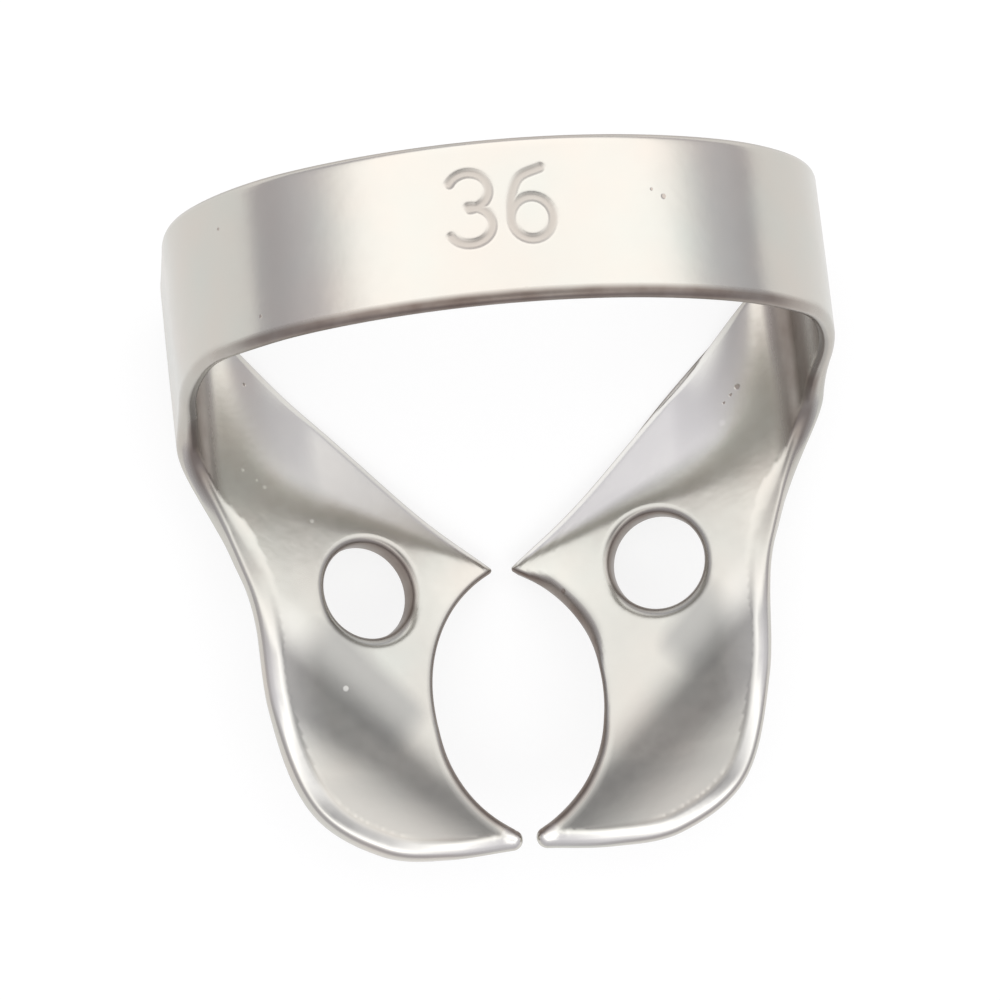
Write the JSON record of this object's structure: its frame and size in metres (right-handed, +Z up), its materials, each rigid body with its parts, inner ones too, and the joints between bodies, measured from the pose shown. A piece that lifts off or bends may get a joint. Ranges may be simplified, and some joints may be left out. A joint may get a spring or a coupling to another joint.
{
  "type": "rubber dam clamp",
  "caption": "One-piece stamped spring-steel rubber dam clamp: an arched bow with two folded arms ending in holed, pronged jaws that grip a molar.",
  "frame": {"origin": "under the middle of the part's overall box, on the surface that it lies on", "axes": "+X to the right across the two jaws, +Y towards the back of the mouth (from the jaws to the bow), +Z up; the part lies on its two folds and on the two distal prongs"},
  "size_m": [0.0246, 0.028, 0.0152],
  "materials": {
    "clamp": "satin-polished stainless spring steel"
  },
  "bodies": {
    "root": {"clamp": "clamp"}
  },
  "joints": []
}
